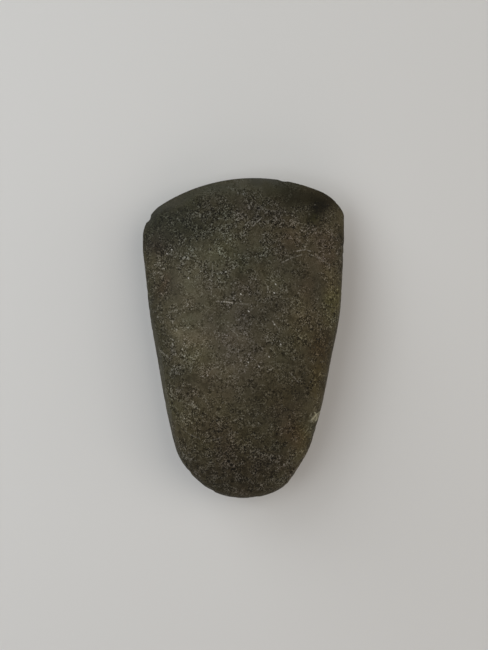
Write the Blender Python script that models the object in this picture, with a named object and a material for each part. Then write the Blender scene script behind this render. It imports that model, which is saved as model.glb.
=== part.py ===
"""A polished stone axe head: one ground stone with a curved cutting edge and a rounded butt.

It lies on its lower face. +Y points to the cutting edge, +Z points up, and the origin is on the
ground under the middle of its box. Lengths are in metres.
"""

import math

import bmesh
import bpy
import numpy as np
from mathutils import Vector

# Driving dimensions
LENGTH = 0.130  # butt to the foremost point of the cutting edge
BLADE_WIDTH = 0.0818  # across the widest place, just behind the edge
THICKNESS = 0.032  # face to face, with the stone at rest on its flat
EDGE_RISE = 0.0166  # how far the edge's foremost point stands ahead of the left side
EDGE_SKEW = 0.0042  # that point lies this far to the right of the centreline
EDGE_BLUNT = 0.0005  # thickness left on the cutting edge
BEVEL_ANGLE = math.radians(36)  # slope of the grinding bevel on either face
LEFT_CORNER_INSET = 0.0072  # how far the blade's left corner is rounded in from the side
LEFT_CORNER_REACH = 0.0113  # and how far behind the edge that rounding starts
RIGHT_CORNER_INSET = 0.0098
RIGHT_CORNER_REACH = 0.0071
REST_FLAT_DEPTH = 0.0007  # stone ground off the lower face, so that it lies still

# Outline of the sides: half widths as shares of half the blade width, at shares of the length
STATIONS = (0.00, 0.03, 0.08, 0.18, 0.30, 0.45, 0.60, 0.73, 0.85)
LEFT_SHARES = (0.585, 0.579, 0.601, 0.694, 0.779, 0.858, 0.932, 0.967, 1.000)
RIGHT_SHARES = (0.649, 0.618, 0.583, 0.683, 0.792, 0.883, 0.962, 0.985, 1.000)
BUTT_CAP = 0.15  # share of the length in which the butt rounds off in plan

# Faces: how the thickness runs along the stone, and across it
FATTEST_AT = 0.47  # share of the length, from the butt
BLADE_THINNING = 0.90  # share of the thickness that is gone where the edge begins
THINNING_POWER = 1.9
CROWN_POWER = 2.4  # 2 is an ellipse, more is a flatter face with squarer sides
EDGE_BEND_POWER = 3.0  # how soon the curve of the edge fades out towards the butt
BEVEL_CRISPNESS = 8.0  # how sharply the bevel meets the face

# Ground facets
FLANK_FACET_AT = 0.37  # share of the length at the middle of each flank facet
FLANK_FACET_DEPTH = 0.0007  # stone that each flank facet takes off the side
LEFT_FLANK_TILT = math.radians(24)  # how far each flank facet leans up
RIGHT_FLANK_TILT = math.radians(10)
HONED_FACET_OFFSET = 0.019  # right of the edge's foremost point
HONED_FACET_ANGLE = math.radians(25.5)

# Chips: hollow scars of this radius and depth, knocked out of the rim
LEFT_CHIP_RADIUS = 0.0026
LEFT_CHIP_DEPTH = 0.0009
LEFT_CHIP_SETBACK = 0.0029  # along the stone, behind where the corner meets the edge
RIGHT_CHIP_RADIUS = 0.0012
RIGHT_CHIP_DEPTH = 0.0003
RIGHT_CHIP_SETBACK = 0.0020
EDGE_CHIP_RADIUS = 0.0060
EDGE_CHIP_DEPTH = 0.0004
EDGE_CHIP_OFFSET = 0.0118  # right of the edge's foremost point
FLANK_CHIP_RADIUS = 0.0030
FLANK_CHIP_DEPTH = 0.0006
FLANK_CHIP_AT = 0.255  # share of the length
FLANK_CHIP_TURN = math.radians(20)  # how far round the section it sits, up from the right side

# Mesh
STATION_COUNT = 46
AROUND_COUNT = 72
END_SPACING = 0.10  # step between stations at either end, as a share of the mean step
CHIP_SUBDIVISIONS = 3
SLOPE_STEP = 0.002  # share of the length, or radians, over which slopes are taken
SHARP_ANGLE = math.radians(25)

half_length = LENGTH / 2
half_width = BLADE_WIDTH / 2
half_thickness = (THICKNESS + REST_FLAT_DEPTH) / 2
mid_height = half_thickness - REST_FLAT_DEPTH


def smooth_curve(at, places, values):
    """A smooth curve through values at places: cubic pieces whose slopes weigh their neighbours'."""
    places = np.array(places)
    values = np.array(values)
    gaps = np.diff(places)
    slopes = np.diff(values) / gaps
    inner = (slopes[:-1] * gaps[1:] + slopes[1:] * gaps[:-1]) / (gaps[1:] + gaps[:-1])
    tangents = np.concatenate([slopes[:1], inner, slopes[-1:]])
    at = np.clip(at, places[0], places[-1])
    piece = np.clip(np.searchsorted(places, at, side="right") - 1, 0, len(gaps) - 1)
    gap = gaps[piece]
    t = (at - places[piece]) / gap
    from_start = (2 * t**3 - 3 * t**2 + 1) * values[piece]
    from_end = (3 * t**2 - 2 * t**3) * values[piece + 1]
    leaving = (t**3 - 2 * t**2 + t) * gap * tangents[piece]
    arriving = (t**3 - t**2) * gap * tangents[piece + 1]
    return from_start + from_end + leaving + arriving


def side_width(share, side):
    """Half width of the outline at a share of the length. side is -1 on the left, 1 on the right."""
    shares = LEFT_SHARES if side < 0 else RIGHT_SHARES
    inset = LEFT_CORNER_INSET if side < 0 else RIGHT_CORNER_INSET
    reach = (LEFT_CORNER_REACH if side < 0 else RIGHT_CORNER_REACH) / LENGTH
    butt = np.sqrt(1 - np.clip(1 - share / BUTT_CAP, 0, 1) ** 2)
    corner = np.clip((share - 1 + reach) / reach, 0, 1)
    rounding = inset * (1 - np.sqrt(1 - corner**2))
    return half_width * smooth_curve(share, STATIONS, shares) * butt - rounding


def edge_radius():
    """Radius of the cutting edge in plan, an arc through its foremost point and the left corner."""
    chord = half_width + EDGE_SKEW
    return (chord**2 + EDGE_RISE**2) / (2 * EDGE_RISE)


def edge_drop(x):
    """How far the cutting edge lies behind its foremost point, at x."""
    radius = edge_radius()
    return radius - np.sqrt(np.maximum(radius**2 - (x - EDGE_SKEW) ** 2, 0))


def edge_distance(x, y):
    """Distance in plan from a point on the stone to the cutting edge's arc."""
    radius = edge_radius()
    return np.maximum(radius - np.hypot(x - EDGE_SKEW, y - half_length + radius), 0)


def face_height(share):
    """Half thickness on the centreline: a quarter ellipse from the butt, then a thinning blade."""
    butt = np.sqrt(1 - np.clip(1 - share / FATTEST_AT, 0, 1) ** 2)
    towards_edge = np.clip((share - FATTEST_AT) / (1 - FATTEST_AT), 0, 1)
    return half_thickness * (butt - BLADE_THINNING * towards_edge**THINNING_POWER)


def soft_least(a, b, crispness):
    """The smaller of two heights, rounded where they cross."""
    a = np.maximum(a, 1e-7)
    b = np.maximum(b, 1e-7)
    return (a**-crispness + b**-crispness) ** (-1 / crispness)


def stone_point(share, turn):
    """Point on the stone's surface, from a share of the length and an angle round the section.

    The angle starts on the right side and turns up over the upper face. A section is straight at
    the butt and bends like the cutting edge at the blade. Its height is a crowned curve from side
    to side, or the grinding bevel where that is lower.
    """
    across = np.cos(turn)
    x = across * np.where(across < 0, side_width(share, -1), side_width(share, 1))
    y = share * LENGTH - half_length - share**EDGE_BEND_POWER * edge_drop(x)
    crown = np.sqrt(1 - np.abs(across) ** CROWN_POWER)
    bevel = EDGE_BLUNT / 2 + math.tan(BEVEL_ANGLE) * edge_distance(x, y)
    rise = soft_least(face_height(share) * crown, bevel, BEVEL_CRISPNESS)
    return np.stack([x, y, mid_height + np.sign(np.sin(turn)) * rise], axis=-1)


def crowded(count):
    """Shares of the length for the stations, closer together at the butt and at the edge."""
    even = np.arange(1, count + 1) / count
    return np.minimum(even - (1 - END_SPACING) * np.sin(2 * math.pi * even) / (2 * math.pi), 1)


def add_ring(bm, share):
    """One section of the stone as a ring of vertices, its first one on the right side."""
    turns = 2 * math.pi * np.arange(AROUND_COUNT) / AROUND_COUNT
    turns[AROUND_COUNT // 2] = math.pi
    points = stone_point(np.full(AROUND_COUNT, share), turns)
    points[[0, AROUND_COUNT // 2], 2] = mid_height
    return [bm.verts.new(point) for point in points]


def stone_blank(bm):
    """The stone before its facets: rings joined by quads, a point at the butt, a strip at the edge."""
    butt = bm.verts.new((0, -half_length, mid_height))
    rings = [add_ring(bm, share) for share in crowded(STATION_COUNT)]
    following = [(i + 1) % AROUND_COUNT for i in range(AROUND_COUNT)]
    for i, j in enumerate(following):
        bm.faces.new((butt, rings[0][i], rings[0][j]))
    for near, far in zip(rings, rings[1:]):
        for i, j in enumerate(following):
            bm.faces.new((near[i], far[i], far[j], near[j]))
    edge = rings[-1]
    for i in range(AROUND_COUNT // 2):
        corners = (edge[i], edge[-i], edge[-i - 1], edge[i + 1])
        bm.faces.new(tuple(dict.fromkeys(corners)))
    bmesh.ops.recalc_face_normals(bm, faces=bm.faces)


def grind_flat(bm, point, outward):
    """Cuts off what stands outside a plane, and closes the cut with one flat face."""
    everything = bm.verts[:] + bm.edges[:] + bm.faces[:]
    bmesh.ops.bisect_plane(
        bm, geom=everything, dist=1e-7, plane_co=point, plane_no=outward, clear_outer=True
    )
    rim = [edge for edge in bm.edges if edge.is_boundary]
    bmesh.ops.holes_fill(bm, edges=rim, sides=0)


def surface_point(share, turn):
    """One point of the stone's surface."""
    return Vector(stone_point(np.array([share]), np.array([turn]))[0])


def surface_outward(share, turn):
    """Direction squarely out of the stone there, from the points a small step away."""
    along = surface_point(share + SLOPE_STEP, turn) - surface_point(share - SLOPE_STEP, turn)
    around = surface_point(share, turn + SLOPE_STEP) - surface_point(share, turn - SLOPE_STEP)
    return along.cross(around).normalized()


def rim_point(share, side):
    """Point on the outline, half way up the stone."""
    point = surface_point(share, 0.0 if side > 0 else math.pi)
    return Vector((point.x, point.y, mid_height))


def rim_outward(share, side):
    """Direction in plan that points squarely out of the side."""
    along = rim_point(share + SLOPE_STEP, side) - rim_point(share - SLOPE_STEP, side)
    return Vector((along.y, -along.x, 0)).normalized() * side


def leaning(direction, angle):
    """A level direction, tipped up by an angle."""
    return direction * math.cos(angle) + Vector((0, 0, math.sin(angle)))


def grind_flank(bm, side, tilt):
    """A long narrow facet down one side, which the maker ground to take the hafting."""
    outward = leaning(rim_outward(FLANK_FACET_AT, side), tilt)
    touching = max((vert.co for vert in bm.verts), key=outward.dot)
    grind_flat(bm, touching - outward * FLANK_FACET_DEPTH, outward)


def edge_point(x):
    """Point on the cutting edge, half way up the stone."""
    return Vector((x, half_length - float(edge_drop(x)), mid_height))


def edge_outward(x):
    """Direction in plan that points squarely out of the cutting edge."""
    return Vector((x - EDGE_SKEW, edge_radius() - float(edge_drop(x)), 0)).normalized()


def hone_blade(bm):
    """The wide flat where the right half of the edge was sharpened again, on the upper face."""
    x = EDGE_SKEW + HONED_FACET_OFFSET
    outward = leaning(edge_outward(x), math.pi / 2 - HONED_FACET_ANGLE)
    grind_flat(bm, edge_point(x), outward)


def chip_cutter(name, centre, radius):
    """A hidden ball that knocks a hollow scar out of the stone."""
    bm = bmesh.new()
    bmesh.ops.create_icosphere(bm, subdivisions=CHIP_SUBDIVISIONS, radius=radius)
    mesh = bpy.data.meshes.new(name)
    bm.to_mesh(mesh)
    bm.free()
    ball = bpy.data.objects.new(name, mesh)
    bpy.context.collection.objects.link(ball)
    ball.location = centre
    ball.hide_render = True
    ball.display_type = "WIRE"
    return ball


def chip_out(stone, name, point, outward, radius, depth):
    """Takes a scoop out of the stone, with its bottom this deep under a point of the surface."""
    cut = stone.modifiers.new(name, "BOOLEAN")
    cut.operation = "DIFFERENCE"
    cut.solver = "EXACT"
    cut.object = chip_cutter(name, point + outward * (radius - depth), radius)


def chip_corner(stone, name, side, setback, radius, depth):
    """A scar in the rounding at one end of the cutting edge."""
    share = 1 - setback / LENGTH
    chip_out(stone, name, rim_point(share, side), rim_outward(share, side), radius, depth)


def chip_edge(stone):
    """A shallow scar in the cutting edge, right of its foremost point."""
    x = EDGE_SKEW + EDGE_CHIP_OFFSET
    point = edge_point(x)
    chip_out(stone, "edge_chip", point, edge_outward(x), EDGE_CHIP_RADIUS, EDGE_CHIP_DEPTH)


def chip_flank(stone):
    """A scar on the right side towards the butt, where fresh stone shows pale."""
    point = surface_point(FLANK_CHIP_AT, FLANK_CHIP_TURN)
    outward = surface_outward(FLANK_CHIP_AT, FLANK_CHIP_TURN)
    chip_out(stone, "flank_chip", point, outward, FLANK_CHIP_RADIUS, FLANK_CHIP_DEPTH)


def ground_stone():
    """Material: dark olive-grey stone, ground smooth but not glossy."""
    material = bpy.data.materials.new("ground_stone")
    material.use_nodes = True
    shader = material.node_tree.nodes["Principled BSDF"]
    shader.inputs["Base Color"].default_value = (0.060, 0.052, 0.036, 1)
    shader.inputs["Roughness"].default_value = 0.55
    shader.inputs["Metallic"].default_value = 0.0
    return material


def clear_scene():
    for obj in list(bpy.data.objects):
        bpy.data.objects.remove(obj)


def axe_head():
    """The whole stone, as one solid."""
    bm = bmesh.new()
    stone_blank(bm)
    grind_flank(bm, -1, LEFT_FLANK_TILT)
    grind_flank(bm, 1, RIGHT_FLANK_TILT)
    hone_blade(bm)
    grind_flat(bm, Vector((0, 0, 0)), Vector((0, 0, -1)))
    mesh = bpy.data.meshes.new("axe_head")
    bm.to_mesh(mesh)
    bm.free()
    mesh.shade_smooth()
    mesh.set_sharp_from_angle(angle=SHARP_ANGLE)
    mesh.materials.append(ground_stone())
    stone = bpy.data.objects.new("axe_head", mesh)
    bpy.context.collection.objects.link(stone)
    chip_corner(
        stone, "left_chip", -1, LEFT_CHIP_SETBACK, LEFT_CHIP_RADIUS, LEFT_CHIP_DEPTH
    )
    chip_corner(
        stone, "right_chip", 1, RIGHT_CHIP_SETBACK, RIGHT_CHIP_RADIUS, RIGHT_CHIP_DEPTH
    )
    chip_edge(stone)
    chip_flank(stone)


clear_scene()
axe_head()
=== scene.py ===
"""A polished stone axe head, lying on a pale table and seen from straight above.

Lengths are in metres and colours are linear. +Y points to the cutting edge and +Z up.
"""

import math

import bpy
import numpy as np
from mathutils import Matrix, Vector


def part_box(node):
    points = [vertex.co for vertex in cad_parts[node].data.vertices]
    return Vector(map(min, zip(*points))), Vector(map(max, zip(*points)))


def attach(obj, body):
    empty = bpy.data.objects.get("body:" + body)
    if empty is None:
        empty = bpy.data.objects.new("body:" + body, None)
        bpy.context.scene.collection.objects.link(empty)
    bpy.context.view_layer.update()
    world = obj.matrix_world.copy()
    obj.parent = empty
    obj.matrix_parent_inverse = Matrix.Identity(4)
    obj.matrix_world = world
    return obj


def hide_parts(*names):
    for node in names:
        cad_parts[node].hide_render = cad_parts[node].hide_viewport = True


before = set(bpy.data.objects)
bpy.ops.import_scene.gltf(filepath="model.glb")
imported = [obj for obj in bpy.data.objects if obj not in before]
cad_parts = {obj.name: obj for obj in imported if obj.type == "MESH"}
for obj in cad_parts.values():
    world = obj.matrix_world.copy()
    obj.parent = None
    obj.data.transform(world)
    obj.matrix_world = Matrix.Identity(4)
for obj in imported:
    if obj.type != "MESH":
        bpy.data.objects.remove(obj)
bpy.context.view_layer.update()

# The axe head's form. One cobble of dense dark greenstone, pecked to shape and then ground: a
# flattened body that widens to a broad curved edge and rounds off at the butt. Every size that
# the solid has is the same here.

LOW, HIGH = (np.array(corner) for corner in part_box("axe_head"))
LENGTH, HALF_WIDTH = HIGH[1] - LOW[1], (HIGH[0] - LOW[0]) / 2
REST_FLAT_DEPTH = 0.0007
HALF_THICKNESS = (HIGH[2] - LOW[2] + REST_FLAT_DEPTH) / 2
MID_HEIGHT = HALF_THICKNESS - REST_FLAT_DEPTH

# The outline: half widths on the left and on the right, as shares of the blade's, at shares of the
# length from the butt. A quarter ellipse closes the butt, and one rounds each corner of the blade
# over its reach along the stone and its inset across it.
STATIONS = (0.00, 0.03, 0.08, 0.18, 0.30, 0.45, 0.60, 0.73, 0.85)
LEFT_SHARES = (0.585, 0.579, 0.601, 0.694, 0.779, 0.858, 0.932, 0.967, 1.000)
RIGHT_SHARES = (0.649, 0.618, 0.583, 0.683, 0.792, 0.883, 0.962, 0.985, 1.000)
BUTT_CAP = 0.15
LEFT_CORNER = {"inset": 0.0072, "reach": 0.0113}
RIGHT_CORNER = {"inset": 0.0098, "reach": 0.0071}

# The cutting edge: its arc's rise, how far right its foremost point is, how late the rows take on
# its curve, its thickness and the length of its rounded nose.
EDGE_RISE = 0.0166
EDGE_SKEW = 0.0042
EDGE_BEND_POWER = 3.0
EDGE_RADIUS = ((HALF_WIDTH + EDGE_SKEW) ** 2 + EDGE_RISE**2) / (2 * EDGE_RISE)
EDGE_BLUNT = 0.0005
EDGE_NOSE = 0.0004

# The faces: where they are fattest, how they thin from there to the edge, how they are crowned
# across, and the bevel that cuts them off. No height counts as less than the least one.
FATTEST_AT = 0.47
BLADE_THINNING = 0.90
THINNING_POWER = 1.9
CROWN_POWER = 2.4
BEVEL_SLOPE = math.tan(math.radians(36))
BEVEL_CRISPNESS = 8.0
LEAST_HEIGHT = 1e-7

# The grid: rows from butt to edge and columns round the upper half. Rows are even by the mean way
# along the stone at these turns, and columns by the way round it at this share of the length.
ROWS = 264
HALF_COLUMNS = 178
PACED_TURNS = (0.0, 0.9, math.pi / 2, 2.2, math.pi)
PACED_SHARE = 0.5
PACES = 4001


def smooth_curve(at, places, values):
    """Cubic pieces through values at places.

    Formula: each piece is a Hermite cubic between its two values, and the slope at a place is the
    mean of the two chords that meet there, each weighed by the other's length.
    """
    places, values = np.array(places), np.array(values)
    gaps = np.diff(places)
    slopes = np.diff(values) / gaps
    inner = (slopes[:-1] * gaps[1:] + slopes[1:] * gaps[:-1]) / (gaps[1:] + gaps[:-1])
    tangents = np.concatenate([slopes[:1], inner, slopes[-1:]])
    at = np.clip(at, places[0], places[-1])
    piece = np.clip(np.searchsorted(places, at, side="right") - 1, 0, len(gaps) - 1)
    gap = gaps[piece]
    t = (at - places[piece]) / gap
    return (
        (2 * t**3 - 3 * t**2 + 1) * values[piece]
        + (3 * t**2 - 2 * t**3) * values[piece + 1]
        + (t**3 - 2 * t**2 + t) * gap * tangents[piece]
        + (t**3 - t**2) * gap * tangents[piece + 1]
    )


def side_width(share, shares, corner):
    """Half width of one side at a share of the length.

    Formula: the smooth curve of the side, times a quarter ellipse that closes the butt, less a
    quarter ellipse that rounds the blade's corner.
    """
    butt = np.sqrt(1 - np.clip(1 - share / BUTT_CAP, 0, 1) ** 2)
    reach = corner["reach"] / LENGTH
    rounding = 1 - np.sqrt(1 - np.clip((share - 1 + reach) / reach, 0, 1) ** 2)
    return HALF_WIDTH * smooth_curve(share, STATIONS, shares) * butt - corner["inset"] * rounding


def edge_distance(x, y):
    """Distance in plan to the cutting edge: the arc's radius less the distance to its centre."""
    from_centre = np.hypot(x - EDGE_SKEW, y - HIGH[1] + EDGE_RADIUS)
    return np.maximum(EDGE_RADIUS - from_centre, 0)


def face_height(share):
    """Half thickness on the centreline.

    Formula: a quarter ellipse from the butt to the fattest place, then less a power of the way
    from there to the edge.
    """
    butt = np.sqrt(1 - np.clip(1 - share / FATTEST_AT, 0, 1) ** 2)
    onward = np.clip((share - FATTEST_AT) / (1 - FATTEST_AT), 0, 1)
    return HALF_THICKNESS * (butt - BLADE_THINNING * onward**THINNING_POWER)


def soft_least(a, b, crispness):
    """The smaller of two heights, rounded where they cross: (a^-n + b^-n)^(-1/n)."""
    a, b = np.maximum(a, LEAST_HEIGHT), np.maximum(b, LEAST_HEIGHT)
    return (a**-crispness + b**-crispness) ** (-1 / crispness)


def ground_form(share, turn):
    """The stone's surface: share runs from butt to edge, turn round the section from the right.

    Formula: x = half width · cos(turn). y runs along the stone and bends back with the edge's arc
    by a power of share. z = mid height, plus above and less below the lower of the bevel and the
    face's height · (1 - |cos|^power)^½.
    """
    across = np.cos(turn)
    left = side_width(share, LEFT_SHARES, LEFT_CORNER)
    right = side_width(share, RIGHT_SHARES, RIGHT_CORNER)
    x = across * np.where(across < 0, left, right)
    drop = EDGE_RADIUS - np.sqrt(EDGE_RADIUS**2 - (x - EDGE_SKEW) ** 2)
    y = LOW[1] + share * LENGTH - share**EDGE_BEND_POWER * drop
    behind = edge_distance(x, y)
    nose = np.sqrt(1 - np.clip(1 - behind / EDGE_NOSE, 0, 1) ** 2)
    bevel = EDGE_BLUNT / 2 * nose + BEVEL_SLOPE * behind
    crown = np.sqrt(1 - np.abs(across) ** CROWN_POWER)
    rise = soft_least(face_height(share) * crown, bevel, BEVEL_CRISPNESS)
    return np.stack([x, y, MID_HEIGHT + np.sign(np.sin(turn)) * rise], axis=-1)


def travelled(points):
    """Distance along each line of points, from its start: the running sum of its steps."""
    steps = np.linalg.norm(np.diff(points, axis=0), axis=-1)
    return np.concatenate([np.zeros((1,) + steps.shape[1:]), np.cumsum(steps, axis=0)])


fine = np.linspace(0, 1, PACES)
along = travelled(ground_form(fine[:, None], np.array(PACED_TURNS))).mean(axis=1)
rows = np.interp(np.linspace(0, along[-1], ROWS + 1)[1:], along, fine)
around = travelled(ground_form(np.full(PACES, PACED_SHARE), fine * math.pi))
half_turns = np.interp(np.linspace(0, around[-1], HALF_COLUMNS + 1), around, fine * math.pi)
turns = np.concatenate([half_turns, 2 * math.pi - half_turns[-2:0:-1]])
share, turn = np.meshgrid(rows, turns, indexing="ij")
form = ground_form(share, turn)
form[:, [0, HALF_COLUMNS], 2] = MID_HEIGHT

# Its surface. Pecking with a hammerstone left small pits all over, and grinding on a wet slab took
# the high spots down: nearly all of them on the blade, fewer on the body, few at the butt.

GRIND_BLEND = 0.00006
# Each swell of its faces: depth, size and seed. They fade out between these distances to the edge.
SWELLS = ((0.00010, 0.023, 11), (0.00006, 0.011, 12), (0.00003, 0.006, 13))
SWELL_FADES = (0.0005, 0.006)
# The large odd numbers that scatter multiplies by, and how far it folds the bits over each time.
CELL_FACTORS = (374761393, 668265263, 1440662683)
SEED_FACTOR = 974634777
FOLDS = ((13, 1274126177), (15, 739982445))
LAST_FOLD = 16
ALL_BITS, KEPT_BITS = 0xFFFFFFFF, 0xFFFFFF
# A peck's depth and reach: the least, and what its strength adds to it.
PECK_DEPTHS = (0.3, 0.7)
PECK_REACHES = (0.25, 0.35)


def scatter(cells, seed):
    """A random number from 0 to 1 for each whole-number cell.

    Formula: the cell's three numbers and the seed, each times a large odd number, are added up, and
    the sum's bits are folded over and multiplied, twice, and folded over once more.
    """
    mixed = sum(cells[..., axis] * factor for axis, factor in enumerate(CELL_FACTORS))
    mixed = (mixed + seed * SEED_FACTOR) & ALL_BITS
    for fold, factor in FOLDS:
        mixed = ((mixed ^ (mixed >> fold)) * factor) & ALL_BITS
    return ((mixed ^ (mixed >> LAST_FOLD)) & KEPT_BITS) / KEPT_BITS


def lumps(points, size, seed):
    """Smooth noise from -1 to 1 with lumps about size across.

    Formula: a random number at each corner of a cubic lattice, blended by 3t² - 2t³ on each axis.
    """
    cell = np.floor(points / size).astype(np.int64)
    t = points / size - cell
    t = t * t * (3 - 2 * t)
    total = np.zeros(points.shape[:-1])
    for corner in np.ndindex(2, 2, 2):
        corner = np.array(corner)
        weight = np.prod(np.where(corner, t, 1 - t), axis=-1)
        total += weight * scatter(cell + corner, seed)
    return 2 * total - 1


def seeds(points, size, seed):
    """Distance to the nearest of scattered seeds, and that seed's own random number from 0 to 1.

    Formula: each cube of a lattice of this size holds one seed at a random place, and the nearest
    is the least far of those in a point's own cube and the 26 round it, measured in sizes.
    """
    cell = np.floor(points / size).astype(np.int64)
    nearest = np.full(points.shape[:-1], np.inf)
    own = np.zeros(points.shape[:-1])
    for step in np.ndindex(3, 3, 3):
        neighbour = cell + np.array(step) - 1
        place = neighbour + np.stack([scatter(neighbour, seed + i) for i in range(3)], axis=-1)
        distance = np.linalg.norm(points / size - place, axis=-1)
        own = np.where(distance < nearest, scatter(neighbour, seed + 3), own)
        nearest = np.minimum(nearest, distance)
    return nearest, own


def pecks(points, size, depth, share, seed):
    """Rounded hollows about size across, on this share of the seeds.

    Formula: depth · how deep · (1 - (distance / reach)²) where that is above zero. How deep and
    reach are each a least value plus more by the seed's strength from 0 to 1.
    """
    distance, own = seeds(points, size, seed)
    strength = np.clip((own - 1 + share) / share, 0, 1)
    how_deep = PECK_DEPTHS[0] + PECK_DEPTHS[1] * strength
    reach = PECK_REACHES[0] + PECK_REACHES[1] * strength
    return depth * how_deep * np.clip(1 - (distance / reach) ** 2, 0, 1)


def outward_of(points):
    """Unit normals of a closed grid: along the rows crossed with along the columns."""
    along = np.gradient(points, axis=0)
    around = np.roll(points, -1, axis=1) - np.roll(points, 1, axis=1)
    normal = np.cross(along, around)
    return normal / np.linalg.norm(normal, axis=-1, keepdims=True)


def step_up(value, start, end):
    """0 below start, 1 above end, and 3t² - 2t³ between."""
    t = np.clip((value - start) / (end - start), 0, 1)
    return t * t * (3 - 2 * t)


def grind(points, outward, level, blend=GRIND_BLEND):
    """The points after rubbing on a flat slab, and how much stone each lost.

    Formula: the height h over the slab becomes -blend · ln(1 + e^(-h / blend)), so it never comes
    out on the far side.
    """
    height = (points * outward).sum(axis=-1) - level
    lost = height + blend * np.logaddexp(0, -height / blend)
    return points - outward * lost[..., None], lost


swell = sum(depth * (lumps(form, size, seed) - 1) for depth, size, seed in SWELLS)
to_edge = edge_distance(form[..., 0], form[..., 1])
swell *= step_up(to_edge, *SWELL_FADES)
stone = form + outward_of(form) * swell[..., None]

# The narrow facets down its sides, where the maker squared it for the haft, and the wide flat where
# the right half of the edge was honed again. Each was rubbed on a flat slab.

# The side facets run from one share of the length to another, lean up from the level by an angle,
# and go deepest in their middle. The honed flat meets the edge right of its foremost point.
LEFT_FACET = {"from": 0.12, "to": 0.66, "lean": math.radians(24), "depth": 0.0006}
RIGHT_FACET = {"from": 0.20, "to": 0.56, "lean": math.radians(10), "depth": 0.0006}
HONED_OFFSET = 0.019
HONED_SLOPE = math.radians(25.5)
# How much stone is gone where a facet starts to shine, and where it shines in full.
FACET_SHINES = (0.00002, 0.00012)
HONED_SHINES = (0.00003, 0.00015)


def edge_frame(offset):
    """The edge's point this far right of its foremost one, and its level outward direction.

    Formula: on the edge's arc, the direction is (offset, way back to the centre) over the radius.
    """
    back = math.sqrt(EDGE_RADIUS**2 - offset**2)
    place = np.array([EDGE_SKEW + offset, HIGH[1] - EDGE_RADIUS + back, MID_HEIGHT])
    return place, np.array([offset, back, 0]) / EDGE_RADIUS


flanks = np.zeros(share.shape)
for facet, rim in ((LEFT_FACET, HALF_COLUMNS), (RIGHT_FACET, 0)):
    run = np.gradient(form[:, rim, :2], axis=0)
    side = np.sign(form[:, rim, 0])
    level = np.stack([side * run[:, 1], -side * run[:, 0], 0 * side], axis=-1)
    level /= np.linalg.norm(level, axis=-1, keepdims=True)
    outward = level * math.cos(facet["lean"]) + np.array([0, 0, math.sin(facet["lean"])])
    outward = outward[:, None, :]
    reach = (form * outward).sum(axis=-1).max(axis=1)
    middle = (facet["from"] + facet["to"]) / 2
    half_span = (facet["to"] - facet["from"]) / 2
    depth = facet["depth"] * (1 - ((rows - middle) / half_span) ** 2)
    stone, lost = grind(stone, outward, (reach - depth)[:, None])
    flanks += step_up(lost, *FACET_SHINES)

tilt = math.pi / 2 - HONED_SLOPE
honed_place, level = edge_frame(HONED_OFFSET)
outward = level * math.cos(tilt) + np.array([0, 0, math.sin(tilt)])
stone, lost = grind(stone, outward, outward @ honed_place)
honed = step_up(lost, *HONED_SHINES)

# Old chips in its rim, from use and from the ground: in both corners, in the edge right of the
# middle, and on the right side near the butt, where fresh stone shows pale.

# Each is a ball's print of this radius and depth. It sits back from the edge on a rim, at an offset
# along the edge, or at a share of the length and a turn round the section.
LEFT_CHIP = {"radius": 0.0026, "depth": 0.0009, "setback": 0.0029}
RIGHT_CHIP = {"radius": 0.0012, "depth": 0.0003, "setback": 0.0020}
EDGE_CHIP = {"radius": 0.0060, "depth": 0.0004, "offset": 0.0118}
FLANK_CHIP = {"radius": 0.0034, "depth": 0.0007, "share": 0.253, "turn": math.radians(23)}
UPPER_SPLINTER = {"radius": 0.0017, "depth": 0.0004, "share": 0.262, "turn": math.radians(31)}
LOWER_SPLINTER = {"radius": 0.0014, "depth": 0.0003, "share": 0.243, "turn": math.radians(27)}
SLOPE_STEP = 0.002
# How far fresh stone reaches from the middle of the chip on the side, along x, y and z.
FRESH_REACH = np.array([0.0027, 0.0019, 0.0060])


def chip(points, centre, radius):
    """The points with a round scar: one inside the ball goes straight out from its centre."""
    offset = points - centre
    distance = np.linalg.norm(offset, axis=-1, keepdims=True)
    return points + offset / distance * np.maximum(radius - distance, 0)


def form_frame(at_share, at_turn):
    """A point of the form and its outward direction.

    Formula: the run along the stone crossed with the run round it, each taken between the points
    a small step to either side.
    """
    steps = np.array([-SLOPE_STEP, 0, SLOPE_STEP])
    near = ground_form(at_share + steps[:, None], at_turn + steps)
    normal = np.cross(near[2, 1] - near[0, 1], near[1, 2] - near[1, 0])
    return near[1, 1], normal / np.linalg.norm(normal)


def rim_frame(at_share, at_turn):
    """The same on the rim, where the direction is level: the run along the rim turned a quarter."""
    near = ground_form(at_share + np.array([-SLOPE_STEP, 0, SLOPE_STEP]), np.full(3, at_turn))
    run = (near[2] - near[0]) * math.cos(at_turn)
    normal = np.array([run[1], -run[0], 0])
    return np.array([near[1, 0], near[1, 1], MID_HEIGHT]), normal / np.linalg.norm(normal)


scars = [
    (LEFT_CHIP, *rim_frame(1 - LEFT_CHIP["setback"] / LENGTH, math.pi)),
    (RIGHT_CHIP, *rim_frame(1 - RIGHT_CHIP["setback"] / LENGTH, 0.0)),
    (EDGE_CHIP, *edge_frame(EDGE_CHIP["offset"])),
]
for scar in (FLANK_CHIP, UPPER_SPLINTER, LOWER_SPLINTER):
    scars.append((scar, *form_frame(scar["share"], scar["turn"])))
for scar, place, normal in scars:
    stone = chip(stone, place + normal * (scar["radius"] - scar["depth"]), scar["radius"])
chip_place, _ = form_frame(FLANK_CHIP["share"], FLANK_CHIP["turn"])
fresh = np.clip(1 - (((form - chip_place) / FRESH_REACH) ** 2).sum(axis=-1), 0, 1)

# The fine relief: a rough pecked surface whose high spots are ground away to a varying level, so
# that a well ground place keeps only the bottoms of its deepest hollows.

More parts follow.
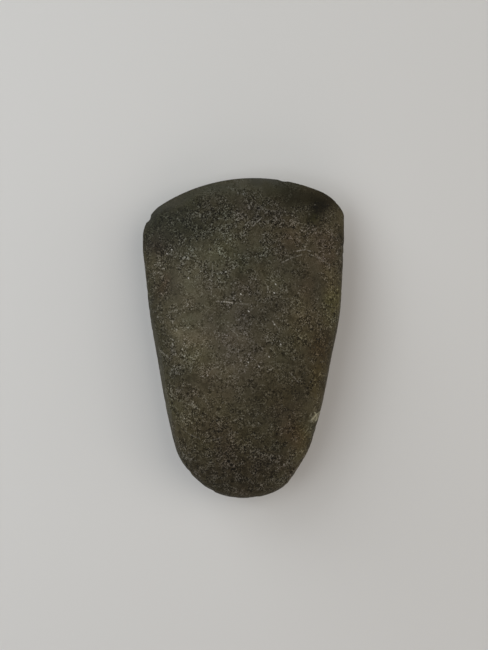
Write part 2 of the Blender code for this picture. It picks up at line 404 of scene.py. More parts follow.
# How well each part is ground, from 0 to 1: the body, less towards the butt, the bevel's wandering
# band and the side facets. Layers give a weight, a size and a seed.
BODY_POLISH = 0.42
POLISH_LAYERS = ((0.16, 0.014, 22), (0.10, 0.006, 23))
BUTT_LACKS = 0.34
BUTT_SHARES = (0.10, 0.42)
BEVEL_BAND = (0.0024, 0.0062)
BEVEL_WANDERS = ((0.0012, 0.005, 21),)
FACET_POLISH = 0.75
# The pecked surface, how far polish over the start cuts into it, the fine tooth left by grinding,
# where it fades out at the edge, and the depths over which a hollow counts as a pit.
ROUGHNESS = 0.00030
ROUGH_LAYERS = ((0.60, 0.0026, 31), (0.45, 0.0014, 32), (0.30, 0.0009, 33))
PECKS = {"size": 0.0030, "depth": 0.00026, "share": 0.30, "seed": 35}
GROUND_LEVEL = 0.00021
GROUND_START = 0.30
TOOTH_LAYERS = ((0.000008, 0.0008, 43),)
RELIEF_FADES = (0.0002, 0.0012)
PIT_DEPTHS = (0.00002, 0.00014)
REST_BLEND = 0.00001


def layered(points, layers, base=0.0):
    """Lumps of several sizes added up: base + weight · lumps for each layer's size and seed."""
    total = base
    for weight, size, seed in layers:
        total = total + weight * lumps(points, size, seed)
    return total


upper = np.sin(turn) > 0
bevel_band = 1 - step_up(layered(form, BEVEL_WANDERS, to_edge), *BEVEL_BAND)
polish = layered(form, POLISH_LAYERS, BODY_POLISH)
polish -= BUTT_LACKS * (1 - step_up(share, *BUTT_SHARES))
polish = np.clip(np.maximum.reduce([polish, bevel_band, honed, FACET_POLISH * flanks]), 0, 1)

rough = ROUGHNESS * layered(form, ROUGH_LAYERS) - pecks(form, **PECKS)
worn = np.minimum(rough + GROUND_LEVEL * (polish - GROUND_START), 0)
worn = layered(form, TOOTH_LAYERS, worn) * step_up(to_edge, *RELIEF_FADES)
stone = stone + outward_of(stone) * worn[..., None]
pits = step_up(-worn, *PIT_DEPTHS)

# The flat spot that it rests on is rubbed last, and then the stone is fitted to the solid's box.
underside = np.array([0, 0, -1.0])
stone, _ = grind(stone, underside, -LOW[2], REST_BLEND)
corner_low, corner_high = stone.min(axis=(0, 1)), stone.max(axis=(0, 1))
stone = LOW + (stone - corner_low) * (HIGH - LOW) / (corner_high - corner_low)
butt_tip = stone[0].mean(axis=0)

# Its colours, where they change over more than a few millimetres. The body is paler and yellower
# left of the middle, a violet grey down the middle with a painted sheen that lightens it there,
# and browner on the right, with rust, olive and ochre stains from the ground. The blade's left
# shoulder is blue grey and the butt is dark. Painted shade darkens the steep left rim, and painted
# bluish highlights lie along the cutting edge.

MM = 0.001
# Each stain, or patch of painted shade, sheen or highlight: its place and half size in plan, in
# millimetres, and its factors for red, green, blue.
STAINS_AND_PAINTED_LIGHT = {
    # The blade, from its left shoulder to the honed right end.
    "green_shoulder": ((-26, 48.5), (17.5, 10.5), (0.44, 0.49, 0.43)),
    # Painted shade on the steep left side at the blade's corner.
    "painted_shade_left_corner": ((-38, 43), (5, 9), (0.70, 0.73, 0.67)),
    # Painted bluish highlights along the rim of the cutting edge.
    "painted_highlight_rim": ((-4, 60.5), (15, 4), (1.20, 1.34, 1.58)),
    "painted_highlight_edge": ((11, 63.5), (9, 2), (1.18, 1.30, 1.75)),
    "dull_blade": ((5, 50.5), (12, 4), (0.68, 0.67, 0.67)),
    "dull_rim": ((17.5, 60.5), (6, 3.5), (0.66, 0.68, 0.67)),
    "honed_foot": ((16, 54.5), (9, 6), (0.64, 0.65, 0.62)),
    "honed_end": ((32, 54.5), (7, 6), (0.42, 0.41, 0.36)),
    "honed_rim": ((26, 61), (6, 3), (1.25, 1.22, 1.25)),
    "olive_spot": ((28, 47.6), (3, 2.5), (0.66, 0.70, 0.45)),
    "right_corner": ((37.5, 51.5), (4, 8.5), (1.48, 1.43, 1.38)),
    "pale_blade": ((-8, 38), (8, 7.5), (1.33, 1.34, 1.36)),
    "green_blade": ((-8.5, 31), (7.5, 9.5), (1.16, 1.28, 1.18)),
    "grey_green": ((11, 26.5), (7, 7), (1.05, 1.12, 1.11)),
    "under_shoulder": ((-26, 41.5), (7, 5), (0.74, 0.74, 0.72)),
    # Down its left side.
    "violet_spot": ((-34.5, 36.5), (4, 4), (0.78, 0.69, 0.75)),
    "pale_left_edge": ((-38, 29), (3.5, 5), (1.42, 1.42, 1.38)),
    "yellow_left": ((-22.5, 25.5), (6, 12), (1.34, 1.37, 1.44)),
    "left_band": ((-28.5, 21), (4, 12), (0.78, 0.78, 0.73)),
    "red_left_edge": ((-32.5, 20), (3, 5), (1.12, 0.92, 0.87)),
    # Painted shade down the steep left side and its facet.
    "painted_shade_left_edge": ((-38.5, 14), (5, 18), (0.74, 0.76, 0.72)),
    "painted_shade_left_facet": ((-35.5, -1), (4, 10), (0.80, 0.80, 0.75)),
    "painted_shade_low_left_rim": ((-28.5, -20.5), (5, 7), (0.77, 0.77, 0.74)),
    "pale_low_left": ((-26, -31), (5, 8), (1.46, 1.44, 1.42)),
    # Its middle.
    "grey_middle": ((-4, 4), (22, 30), (1.03, 1.02, 1.11)),
    # A painted sheen, lighter and bluer, down the middle of the face.
    "painted_sheen_middle": ((-5, 0), (10.5, 19), (1.23, 1.22, 1.34)),
    "dull_centre": ((3, 1), (4.5, 4.5), (0.88, 0.88, 0.87)),
    "pale_upper_left": ((-16, 12), (8, 5), (1.30, 1.29, 1.26)),
    "pale_left": ((-23.5, 3), (7.5, 10), (1.74, 1.74, 1.72)),
    "white_left": ((-26.8, 2.2), (2.5, 1.3), (1.35, 1.34, 1.36)),
    "pale_inner_left": ((-14, -7), (7, 8), (1.37, 1.38, 1.26)),
    "pale_low_centre": ((-5.5, -12.5), (7, 4.5), (1.36, 1.34, 1.42)),
    "grey_low_left": ((-13, -27), (11, 11), (1.19, 1.14, 1.03)),
    "dark_low_left": ((-19, -38), (7, 8), (0.86, 0.84, 0.80)),
    "dark_low_middle": ((10.5, -21.5), (12, 10), (0.71, 0.67, 0.59)),
    "grey_low_spot": ((15, -23.5), (4.5, 4.5), (1.28, 1.26, 1.12)),
    # Down its right side.
    "rusty_blade": ((17.5, 42), (5, 6), (1.20, 1.06, 1.02)),
    "rusty_right": ((30, 36), (8, 6.5), (1.15, 1.06, 1.08)),
    "pale_rust": ((31.5, 32), (4.5, 5), (1.18, 1.15, 1.22)),
    "brown_right_edge": ((35.5, 30), (4, 12), (1.22, 1.12, 1.12)),
    "rust_streak": ((25.5, 20), (3.5, 11), (1.12, 1.01, 0.94)),
    "olive_right_edge": ((36.5, 17), (3.5, 8), (1.27, 1.32, 0.88)),
    "dull_right": ((23, 12.5), (4, 4), (0.88, 0.88, 0.80)),
    "olive_right": ((21, 3), (6, 8), (1.16, 1.13, 0.99)),
    "pale_right_edge": ((34, 7.5), (4.5, 5.5), (1.42, 1.35, 1.20)),
    "brown_low_edge": ((29.5, -3), (5.5, 7.5), (0.73, 0.60, 0.46)),
    "olive_low_edge": ((29.5, -15), (4, 8), (1.22, 1.12, 0.77)),
    "low_right_rim": ((30.5, -27), (3, 8), (1.28, 1.28, 1.26)),
    "dull_low_right": ((22, -18.5), (5, 5), (0.80, 0.79, 0.75)),
    "red_low_right": ((18.5, -37.5), (4.5, 5.5), (1.04, 0.89, 0.86)),
    "ochre_low_right": ((23, -38), (3, 8), (1.08, 1.04, 0.86)),
    "pale_low_right": ((26, -43), (5, 13), (1.54, 1.54, 1.46)),
    # Its butt.
    "ochre_butt": ((0, -41), (20, 6), (1.02, 0.99, 0.90)),
    "dark_butt": ((0, -52), (21, 15), (0.65, 0.60, 0.59)),
    "pale_butt_left": ((-21, -57), (5, 4), (1.34, 1.32, 1.34)),
    "pale_butt_right": ((19.5, -52), (5.5, 6), (1.45, 1.40, 1.48)),
}
# The same for two with a clear edge, where the honed end meets the face.
CLEAR_STAINS = {
    "honed_band": ((26, 57), (11, 4.8), (0.76, 0.74, 0.71)),
    "honed_spot": ((30, 51.8), (4.5, 4.3), (0.37, 0.35, 0.26)),
}
# Where its grains stand out more or less than elsewhere: place, half size and factor.
GRIT_PATCHES = {
    "coarse_blade": ((-1, 51.5), (14, 9), 1.85),
    "coarse_left": ((-21.5, 41.5), (9, 10), 1.45),
    "coarse_left_edge": ((-33, 29), (8, 8), 1.35),
    "coarse_upper_left": ((-15, 33), (8, 8), 1.15),
    "coarse_left_middle": ((-26, 3), (7, 12), 1.18),
    "coarse_right_corner": ((36, 52.5), (4, 4.5), 1.9),
    "calm_middle": ((-14, 11), (6.5, 11), 0.60),
    "calm_centre": ((-7.5, -7), (4.5, 14), 0.76),
    "calm_right_middle": ((13.5, 13), (8, 12), 0.70),
    "calm_low_middle": ((4, -17), (26, 17), 0.78),
    "calm_low_left": ((-10, -24), (7, 16), 0.78),
    "calm_low_right": ((21, -33.5), (9, 11), 0.75),
    "coarse_butt": ((-5, -50), (15, 14), 1.55),
}
SOFT_EDGE, CLEAR_EDGE = 2, 4
# How far the stains' outlines wander in plan: reach, size and seed.
WANDERS = ((0.0020, 0.008, 150), (0.0010, 0.003, 152))
# How the brightness, the three colours and the grain waver: weight, size and seed.
CLOUD_LAYERS = ((0.16, 0.0045, 93), (0.17, 0.010, 94), (0.08, 0.0045, 95), (0.085, 0.010, 96))
HUE_LAYERS = ((0.035, 0.007, 97), (0.035, 0.007, 98), (0.035, 0.007, 99))
GRIT_LEVEL = 0.84
GRIT_LAYERS = ((0.36, 0.009, 91), (0.22, 0.004, 92))
GROUND_CALM = 0.65
FACET_CALM = 0.25


def patch(plan, place, half_size, power):
    """How strongly a patch shows at points in plan, where its place and half size are in MM.

    Formula: e to the minus distance from its place to this power, counted in half sizes.
    """
    squared = (((plan / MM - np.array(place)) / np.array(half_size)) ** 2).sum(axis=-1)
    return np.exp(-(squared ** (power / 2)))


ragged_plan = form[..., :2].copy()
for reach, size, seed in WANDERS:
    shake = [lumps(form, size, seed), lumps(form, size, seed + 1)]
    ragged_plan += reach * np.stack(shake, axis=-1)

hues = np.stack([layered(form, [layer]) for layer in HUE_LAYERS], axis=-1)
tint = np.exp(hues + layered(form, CLOUD_LAYERS)[..., None])
for stain_and_light_table, power in ((STAINS_AND_PAINTED_LIGHT, SOFT_EDGE), (CLEAR_STAINS, CLEAR_EDGE)):
    for place, half_size, factors in stain_and_light_table.values():
        strength = patch(ragged_plan, place, half_size, power) * upper
        tint *= 1 + strength[..., None] * (np.array(factors) - 1)
grit = layered(form, GRIT_LAYERS, GRIT_LEVEL)
for place, half_size, factor in GRIT_PATCHES.values():
    grit *= 1 + patch(ragged_plan, place, half_size, SOFT_EDGE) * (factor - 1)
grit *= 1 - GROUND_CALM * np.maximum(bevel_band, honed) - FACET_CALM * flanks * (1 - bevel_band)

# Single large pale crystals on its upper face, each at the nearest point of the grid, painted as
# bright as their glints: pale crystals with a painted highlight.
GLINTING_CRYSTALS = (
    (-0.0010, 0.0175),
    (0.0126, 0.0211),
    (0.0118, 0.0176),
    (0.0023, 0.0106),
    (0.0120, 0.0054),
    (0.0145, -0.0024),
    (0.0021, -0.0094),
    (0.0060, -0.0107),
    (0.0102, -0.0074),
    (-0.0303, 0.0335),
    (-0.0287, 0.0350),
    (-0.0216, 0.0235),
)
specks = np.zeros(share.shape)
for glint in GLINTING_CRYSTALS:
    apart = np.linalg.norm(stone[..., :2] - glint, axis=-1) + (1 - upper)
    specks[np.unravel_index(apart.argmin(), apart.shape)] = 1


def stone_mesh(name, points, tip, attributes):
    """A closed mesh from the grid, with its marks as attributes.

    Formula: quads between rows, a fan from the tip at the butt, and at the cutting edge the upper
    and the lower half of the last row sewn together, column to opposite column.
    """
    count, columns = points.shape[:2]
    column = np.arange(columns)
    opposite = np.minimum(column, columns - column)
    ids = 1 + np.arange((count - 1) * columns).reshape(count - 1, columns)
    ids = np.concatenate([ids, 1 + (count - 1) * columns + opposite[None]])
    following = np.roll(ids, -1, axis=1)
    quads = np.stack([ids[:-1], ids[1:], following[1:], following[:-1]], axis=-1)
    fan = np.stack([np.zeros(columns, int), ids[0], following[0]], axis=-1)

    def flat(values):
        """A grid's values in the order of the mesh's points, the butt's tip first."""
        values = np.asarray(values, float).reshape(count, columns, -1)
        body = values[:-1].reshape(-1, values.shape[-1])
        return np.concatenate([values[0].mean(axis=0)[None], body, values[-1, : columns // 2 + 1]])

    places = flat(points)
    places[0] = tip
    mesh = bpy.data.meshes.new(name)
    mesh.from_pydata(places.tolist(), [], quads.reshape(-1, 4).tolist() + fan.tolist())
    for key, values in attributes.items():
        values = flat(values)
        if values.shape[1] == 1:
            mesh.attributes.new(key, "FLOAT", "POINT").data.foreach_set("value", values.ravel())
        else:
            values = np.concatenate([values, np.ones((len(values), 1))], axis=1)
            layer = mesh.attributes.new(key, "FLOAT_COLOR", "POINT")
            layer.data.foreach_set("color", values.ravel())
    mesh.shade_smooth()
    mesh.validate()
    return mesh


marks = {"polish": polish, "pits": pits, "fresh": fresh}
marks.update({"specks": specks, "grit": grit, "tint": tint})
axe_mesh = stone_mesh("polished_axe", stone, butt_tip, marks)
axe = bpy.data.objects.new("polished_axe", axe_mesh)
bpy.context.collection.objects.link(axe)

# Its finish. Fine dark and pale crystals under a millimetre long, ground to a dull sheen, darker
# and smoother where the grinding went on longest, and pale dust-coloured where fresh stone shows.

STONE_COLOUR = (0.0487, 0.0418, 0.0236, 1)
STONE_SPECULAR = 0.14
MATT, SATIN = 0.65, 0.45
LONG_GROUND = 0.88
# How much polish, pit, scar or painted glint it takes to start showing, and to show in full.
SHEEN_RANGE = (0.3, 1.0)
LONG_RANGE = (0.6, 1.0)
HOLLOW_RANGE = (0.3, 1.0)
SCAR_RANGE = (0.0, 0.3)
GLINT_RANGE = (0.3, 0.7)
# How rough the noise is, and how far from their middle crystals and scratches start to fade and are
# gone, in sizes and in widths.
NOISE_ROUGHNESS = 0.6
CRYSTAL_FADE = (0.25, 0.45)
SCRATCH_FADE = (0.25, 0.75)
# The grain in doublings of brightness, and how much of it red, green and blue take. Its noises
# give a size, twist and weight, its laths and its dark crystals a size, width or share, seed and
# weight. It is held under a cap, and hollows are darker.
GRAIN_STEPS = (1.0, 1.075, 1.37)
GRAIN_BASE = -6.85
GRAIN_NOISES = ((0.00044, 0.8, 7.1), (0.0009, 1.2, 4.6), (0.0018, 1.2, 1.7))
LATHS = ((0.0013, 0.045, 7.0, 1.1), (0.0016, 0.045, 11.0, -1.2))
DARK_CRYSTALS = ((0.0009, 0.30, 3.0, -1.8),)
GRAIN_CAP, CAP_BLEND = 2.0, 1.0
HOLLOW_STEP = -0.5
# The pale crystals' size, share and seed, and how strongly they show.
PALE_CRYSTALS = (0.0008, 0.10, 5.0)
CRYSTAL_STRENGTH = 0.55
CRYSTAL_COLOUR = (0.150, 0.140, 0.112, 1)
# The colour of the large crystals, with their glints painted in.
GLINT_COLOUR = (0.42, 0.40, 0.36, 1)
# Noise that lets other things through in patches: its size, the part of its range that counts, and
# what that part is stretched to. For the grain, for the scratches and for the bruises.
GRAIN_PATCHES = (0.0034, 0.36, 0.58, 0.30, 1.43)
SCRATCH_BREAKS = (0.0008, 0.42, 0.55, 0.05, 1.0)
CHALK_BREAKS = (0.0007, 0.38, 0.52, 0.30, 1.0)
# Fresh stone in the chip on the right side, with a ragged outline.
FRESH_COLOUR = (0.400, 0.380, 0.270, 1)
FRESH_STRENGTH = 0.36
FRESH_GRAIN = 0.6
FRESH_RAGS, RAG_SIZE, RAG_DETAIL = 3.2, 0.0009, 2.0
FRESH_EDGE = (0.38, 0.75)
# Scratches and bruises lie on the upper face alone: they come in over this height above the rim.
SCRATCH_COLOUR = (0.250, 0.230, 0.195, 1)
SCRATCH_WIDTH = 0.00045
BRUISE_WIDTH = 0.0006
UPPER_RISE = 0.001
# The bump: its depth, its strength where the stone is rough and where it is ground, and the
# weights of the grain, the scratches and the fine lines that grinding left along the stone.
BUMP_DEPTH = 0.00016
BUMP_STRENGTHS = (0.70, 0.15)
TOOTH_SIZE, TOOTH_DETAIL = 0.0007, 3.0
GRAIN_RELIEF = 0.3
SCRATCH_RELIEF = -0.6
STRIAE_SIZE, STRIAE_STRETCH, STRIAE_RELIEF = 0.00035, (1, 0.05, 1), 0.8

# Fine light scratches: how strongly each shows, and its points in plan.
SCRATCHES = (
    (1.00, ((-0.0106, 0.0143), (-0.0066, 0.0143), (-0.0043, 0.0139))),
    (0.30, ((-0.0032, 0.0136), (0.0020, 0.0134))),
    (0.30, ((-0.0122, 0.0294), (-0.0126, 0.0164))),
    (0.22, ((-0.0136, 0.0359), (-0.0132, 0.0298))),
    (0.55, ((0.0151, 0.0298), (0.0191, 0.0319), (0.0232, 0.0331))),
    (0.75, ((0.0212, 0.0345), (0.0244, 0.0351), (0.0268, 0.0345))),
    (0.60, ((0.0262, 0.0335), (0.0305, 0.0317), (0.0344, 0.0290))),
    (0.60, ((0.0067, 0.0475), (0.0037, 0.0445))),
    (0.25, ((-0.0246, -0.0356), (-0.0215, -0.0380), (-0.0171, -0.0399))),
    (0.25, ((-0.0139, -0.0407), (-0.0083, -0.0389))),
    (0.40, ((-0.0073, 0.0061), (-0.0022, 0.0010))),
    (0.55, ((0.0114, 0.0067), (0.0140, 0.0034))),
    (0.55, ((0.0181, -0.0133), (0.0216, -0.0173))),
    (0.40, ((-0.0337, -0.0047), (-0.0288, -0.0084))),
)
# Pale bruises crossing the chip on the right side, in the same way.
BRUISES = (
    (0.90, ((0.0274, -0.0328), (0.0283, -0.0317), (0.0293, -0.0306), (0.0285, -0.0299))),
    (0.50, ((0.0293, -0.0306), (0.0309, -0.0298))),
    (0.55, ((0.0294, -0.0309), (0.0296, -0.0317), (0.0292, -0.0332))),
    (0.50, ((0.0303, -0.0307), (0.0297, -0.0327))),
)


def add(tree, kind, inputs=None, **settings):
    """A node of this kind with its settings, and its inputs as numbers or as other sockets."""
    new = tree.nodes.new(kind)
    for name, value in settings.items():
        setattr(new, name, value)
    for name, value in (inputs or {}).items():
        if isinstance(value, bpy.types.NodeSocket):
            tree.links.new(value, new.inputs[name])
        else:
            new.inputs[name].default_value = value
    return new


def calc(tree, operation, *values):
    """One step of arithmetic on numbers or sockets."""
    node = add(tree, "ShaderNodeMath", dict(enumerate(values)), operation=operation)
    return node.outputs[0]


def times(tree, a, b):
    """The product a · b."""
    return calc(tree, "MULTIPLY", a, b)


def added(tree, total, value, weight):
    """The sum total + value · weight."""
    return calc(tree, "MULTIPLY_ADD", value, weight, total)


def vector(tree, operation, a, b):
    """A node for one step of arithmetic on vectors, whose outputs are a vector and a number."""
    return add(tree, "ShaderNodeVectorMath", {0: a, 1: b}, operation=operation)


def mapped(tree, value, low, high, to_low, to_high):
    """A value stretched from one range to another and held there."""
    inputs = {"Value": value, 1: low, 2: high, 3: to_low, 4: to_high}
    return add(tree, "ShaderNodeMapRange", inputs).outputs["Result"]


def blended(tree, kind, factor, a, b):
    """Colour a taken towards b, by mixing, multiplying or another blend."""
    inputs = {"Factor": factor, 6: a, 7: b}
    return add(tree, "ShaderNodeMix", inputs, data_type="RGBA", blend_type=kind).outputs[2]


def noise(tree, place, size, detail=1.0, twist=0.0):
    """Blender's noise with lumps about size across, from 0 to 1 round a half, bent by twist."""
    inputs = {"Vector": place, "Scale": 1 / size, "Detail": detail, "Distortion": twist}
    inputs["Roughness"] = NOISE_ROUGHNESS
    return add(tree, "ShaderNodeTexNoise", inputs).outputs[0]


def patches(tree, place, size, low, high, to_low, to_high):
    """Noise of this size, stretched from low and high to new ends and held there."""
    return mapped(tree, noise(tree, place, size), low, high, to_low, to_high)


def crystals(tree, place, size, share, seed):
    """1 on this share of the crystals of this size, falling to 0 at their edges.

    Formula: how surely the cell's own random number picks it, times how near its middle is.
    """
    moved = vector(tree, "ADD", place, (seed, seed, seed)).outputs[0]
    cells = add(tree, "ShaderNodeTexVoronoi", {"Vector": moved, "Scale": 1 / size})
    random = add(tree, "ShaderNodeSeparateColor", {0: cells.outputs["Color"]}).outputs[0]
    chosen = mapped(tree, random, 1 - share, 1 - 0.5 * share, 0.0, 1.0)
    near = mapped(tree, cells.outputs["Distance"], *CRYSTAL_FADE, 1.0, 0.0)
    return times(tree, chosen, near)


def laths(tree, place, size, width, seed):
    """Thin curved lines: 1 where noise is a half, falling to 0 by width on either side."""
    moved = vector(tree, "ADD", place, (seed, seed, seed)).outputs[0]
    apart = calc(tree, "ABSOLUTE", calc(tree, "SUBTRACT", noise(tree, moved, size), 0.5))
    return mapped(tree, apart, 0.0, width, 1.0, 0.0)


def scratched(tree, place, points, width):
    """1 on a line through points in plan, falling to 0 at its edges.

    Formula: the least distance to any of its straight pieces, each taken from the nearest point
    between that piece's two ends.
    """
    flat = vector(tree, "MULTIPLY", place, (1, 1, 0)).outputs[0]
    least = 1.0
    for start, end in zip(points, points[1:]):
        length = math.dist(start, end)
        run = ((end[0] - start[0]) / length, (end[1] - start[1]) / length, 0)
        offset = vector(tree, "SUBTRACT", flat, (*start, 0)).outputs[0]
        reached = vector(tree, "DOT_PRODUCT", offset, run).outputs["Value"]
        held = mapped(tree, reached, 0.0, length, 0.0, length)
        nearest = add(tree, "ShaderNodeVectorMath", {0: run, "Scale": held}, operation="SCALE")
        apart = vector(tree, "DISTANCE", offset, nearest.outputs[0]).outputs["Value"]
        least = calc(tree, "MINIMUM", least, apart)
    return mapped(tree, least, SCRATCH_FADE[0] * width, SCRATCH_FADE[1] * width, 1.0, 0.0)


def scored_by(tree, place, marks, width):
    """How strongly a set of scratches shows: the greatest of strength · scratched."""
    most = 0.0
    for strength, points in marks:
        mark = times(tree, scratched(tree, place, points, width), strength)
        most = calc(tree, "MAXIMUM", most, mark)
    return most


def attribute(tree, name):
    """The node that reads one of the marks on the mesh."""
    return add(tree, "ShaderNodeAttribute", attribute_name=name)


def grain_of(tree, place, gritty, hollow):
    """The grain in doublings of brightness.

    Formula: gritty · (base + the weighted noises, laths and dark crystals), softly held under a
    cap, less a step in the hollows.
    """
    grain = GRAIN_BASE
    for size, twist, weight in GRAIN_NOISES:
        grain = added(tree, grain, noise(tree, place, size, twist=twist), weight)
    for size, width, seed, weight in LATHS:
        grain = added(tree, grain, laths(tree, place, size, width, seed), weight)
    for size, share, seed, weight in DARK_CRYSTALS:
        grain = added(tree, grain, crystals(tree, place, size, share, seed), weight)
    grain = calc(tree, "SMOOTH_MIN", times(tree, grain, gritty), GRAIN_CAP, CAP_BLEND)
    return added(tree, grain, mapped(tree, hollow, *HOLLOW_RANGE, 0.0, 1.0), HOLLOW_STEP)


def relief_of(tree, place, grain, scored, smooth):
    """The height for the bump.

    Formula: a fine tooth + weighted grain, scratches and striae, which are noise of places drawn
    out twentyfold along the stone, times how smooth it is.
    """
    relief = added(tree, noise(tree, place, TOOTH_SIZE, TOOTH_DETAIL), grain, GRAIN_RELIEF)
    relief = added(tree, relief, scored, SCRATCH_RELIEF)
    drawn = vector(tree, "MULTIPLY", place, STRIAE_STRETCH).outputs[0]
    striae = times(tree, noise(tree, drawn, STRIAE_SIZE), smooth)
    return added(tree, relief, striae, STRIAE_RELIEF)


def greenstone():
    """The stone's finish, from its place on the object and from the marks on its mesh.

    Formula: colour = stone · tint · 2^(step · grain), where blue takes larger steps than red so
    that pale grains are greyer, and tint holds stains, painted shade, a painted sheen and painted
    highlights. Over it lie, in this order, pale crystals, scratches, fresh stone, bruises and the
    single large crystals with their glints painted in.
    """
    material = bpy.data.materials.new("ground_greenstone")
    material.use_nodes = True
    tree = material.node_tree
    shader = tree.nodes["Principled BSDF"]
    place = add(tree, "ShaderNodeTexCoord").outputs["Object"]
    smooth = attribute(tree, "polish").outputs["Fac"]
    hollow = attribute(tree, "pits").outputs["Fac"]
    scar = attribute(tree, "fresh").outputs["Fac"]
    glint = attribute(tree, "specks").outputs["Fac"]
    gritty = attribute(tree, "grit").outputs["Fac"]
    tinted = attribute(tree, "tint").outputs["Color"]

    gritty = times(tree, gritty, patches(tree, place, *GRAIN_PATCHES))
    grain = grain_of(tree, place, gritty, hollow)
    steps = [calc(tree, "POWER", 2.0, times(tree, grain, step)) for step in GRAIN_STEPS]
    contrast = add(tree, "ShaderNodeCombineColor", dict(enumerate(steps))).outputs[0]
    colour = blended(tree, "MULTIPLY", 1.0, STONE_COLOUR, tinted)
    colour = blended(tree, "MULTIPLY", 1.0, colour, contrast)
    pale = times(tree, crystals(tree, place, *PALE_CRYSTALS), gritty)
    pale = mapped(tree, pale, 0.0, 1.0, 0.0, CRYSTAL_STRENGTH)
    colour = blended(tree, "MIX", pale, colour, CRYSTAL_COLOUR)
    darker = mapped(tree, smooth, *LONG_RANGE, 1.0, LONG_GROUND)
    colour = blended(tree, "MULTIPLY", 1.0, colour, darker)

    height = add(tree, "ShaderNodeSeparateXYZ", {0: place}).outputs["Z"]
    above = mapped(tree, height, MID_HEIGHT, MID_HEIGHT + UPPER_RISE, 0.0, 1.0)
    broken = times(tree, patches(tree, place, *SCRATCH_BREAKS), above)
    scored = times(tree, scored_by(tree, place, SCRATCHES, SCRATCH_WIDTH), broken)
    colour = blended(tree, "MIX", scored, colour, SCRATCH_COLOUR)

    ragged = calc(tree, "SUBTRACT", scar, FRESH_RAGS / 2)
    ragged = added(tree, ragged, noise(tree, place, RAG_SIZE, RAG_DETAIL), FRESH_RAGS)
    bared = mapped(tree, ragged, *FRESH_EDGE, 0.0, 1.0)
    bared = times(tree, bared, mapped(tree, scar, *SCAR_RANGE, 0.0, 1.0))
    clean = blended(tree, "MULTIPLY", FRESH_GRAIN, FRESH_COLOUR, contrast)
    colour = blended(tree, "MIX", times(tree, bared, FRESH_STRENGTH), colour, clean)
    bruised = times(tree, scored_by(tree, place, BRUISES, BRUISE_WIDTH), above)
    bruised = times(tree, bruised, patches(tree, place, *CHALK_BREAKS))
    colour = blended(tree, "MIX", bruised, colour, FRESH_COLOUR)
    painted_glint = mapped(tree, glint, *GLINT_RANGE, 0.0, 1.0)
    colour = blended(tree, "MIX", painted_glint, colour, GLINT_COLOUR)

    gloss = mapped(tree, smooth, *SHEEN_RANGE, MATT, SATIN)
    relief = relief_of(tree, place, grain, scored, smooth)
    strength = mapped(tree, smooth, *SHEEN_RANGE, *BUMP_STRENGTHS)
    inputs = {"Strength": strength, "Distance": BUMP_DEPTH, "Height": relief}
    bump = add(tree, "ShaderNodeBump", inputs)
    tree.links.new(colour, shader.inputs["Base Color"])
    tree.links.new(gloss, shader.inputs["Roughness"])
    tree.links.new(bump.outputs["Normal"], shader.inputs["Normal"])
    shader.inputs["Specular IOR Level"].default_value = STONE_SPECULAR
    return material


axe.data.materials.append(greenstone())
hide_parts("axe_head")
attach(axe, "root")

# The table. A plain pale matt sheet under the stone, so large that from above no edge of it shows
# and from the side it ends far behind the stone.

TABLE_HALF = 12.0
TABLE_COLOUR = (0.62, 0.615, 0.605, 1)
TABLE_ROUGHNESS = 0.8
TABLE_SPECULAR = 0.1

table_mesh = bpy.data.meshes.new("table")
corners = np.array([[-1, -1, 0], [1, -1, 0], [1, 1, 0], [-1, 1, 0]]) * TABLE_HALF
table_mesh.from_pydata(corners.tolist(), [], [(0, 1, 2, 3)])
table = bpy.data.objects.new("table", table_mesh)
bpy.context.collection.objects.link(table)
table_finish = bpy.data.materials.new("table_sheet")
table_finish.use_nodes = True
table_shader = table_finish.node_tree.nodes["Principled BSDF"]
table_shader.inputs["Base Color"].default_value = TABLE_COLOUR
table_shader.inputs["Roughness"].default_value = TABLE_ROUGHNESS
table_shader.inputs["Specular IOR Level"].default_value = TABLE_SPECULAR
table.data.materials.append(table_finish)

# The light. Cool windows on the left, one near and one low behind, and warmer bounce from the right
# and from the front, all broad and soft, in a dim room.

ROOM_COLOUR = (1, 1, 1, 1)
ROOM_STRENGTH = 0.15
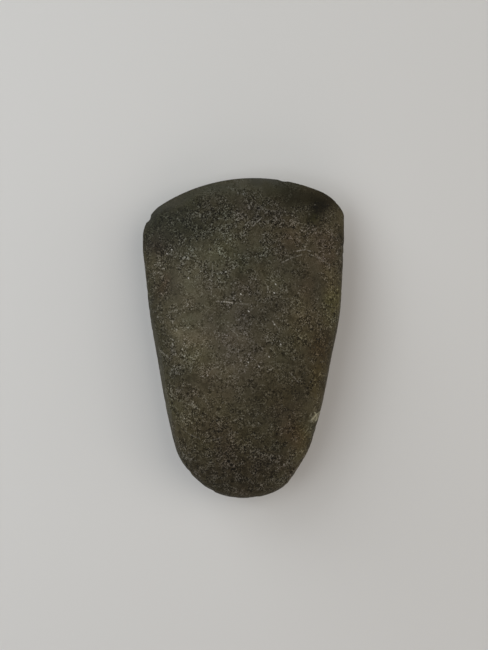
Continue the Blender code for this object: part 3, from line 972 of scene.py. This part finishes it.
# Each light: its place, the side of its square, its power in watts and its colour.
LIGHTS = {
    "near_window": ((-0.40, 0.00, 0.57), 0.5, 1.82, (0.94, 0.98, 1)),
    "low_window": ((-0.77, 0.77, 0.51), 0.9, 7.0, (0.93, 0.97, 1)),
    "right_bounce": ((0.61, 0.22, 1.00), 0.9, 4.0, (1, 0.94, 0.86)),
    "low_right": ((1.10, -0.10, 0.45), 0.9, 3.2, (1, 0.94, 0.86)),
    "front_bounce": ((0.0, -1.09, 0.51), 0.9, 2.5, (1, 0.86, 0.80)),
}

world = bpy.data.worlds.new("studio")
bpy.context.scene.world = world
world.use_nodes = True
background = world.node_tree.nodes["Background"]
background.inputs["Color"].default_value = ROOM_COLOUR
background.inputs["Strength"].default_value = ROOM_STRENGTH


def aim(lamp, place):
    """Puts a lamp at a place, turned to face the origin.

    Formula: it tips from straight down by the angle whose cosine is the height's share of the
    distance, and turns round the vertical to the side that it stands on.
    """
    back = np.array(place) / np.linalg.norm(place)
    lamp.location = place
    lamp.rotation_euler = (math.acos(back[2]), 0, math.atan2(back[0], -back[1]))


for name, (place, side, power, colour) in LIGHTS.items():
    panel = bpy.data.lights.new(name, "AREA")
    panel.shape = "SQUARE"
    panel.size = side
    panel.energy = power
    panel.color = colour
    lamp = bpy.data.objects.new(name, panel)
    lamp.visible_camera = False
    bpy.context.collection.objects.link(lamp)
    aim(lamp, place)

# The camera. It looks straight down at the stone from 0.4 m over the rim, and at the rim's height
# the picture is 264 mm long from top to bottom.

VIEW_CENTRE = (0.00022, 0.00524)
VIEW_DISTANCE = 0.40
VIEW_LENGTH = 0.2642
SENSOR_SIDE = 36
NEAREST = 0.01

eye = bpy.data.cameras.new("camera")
eye.sensor_width = SENSOR_SIDE
eye.lens = SENSOR_SIDE * VIEW_DISTANCE / VIEW_LENGTH
eye.clip_start = NEAREST
camera = bpy.data.objects.new("camera", eye)
camera.location = (*VIEW_CENTRE, MID_HEIGHT + VIEW_DISTANCE)
bpy.context.collection.objects.link(camera)
bpy.context.scene.camera = camera
bpy.context.scene.view_settings.view_transform = "Standard"
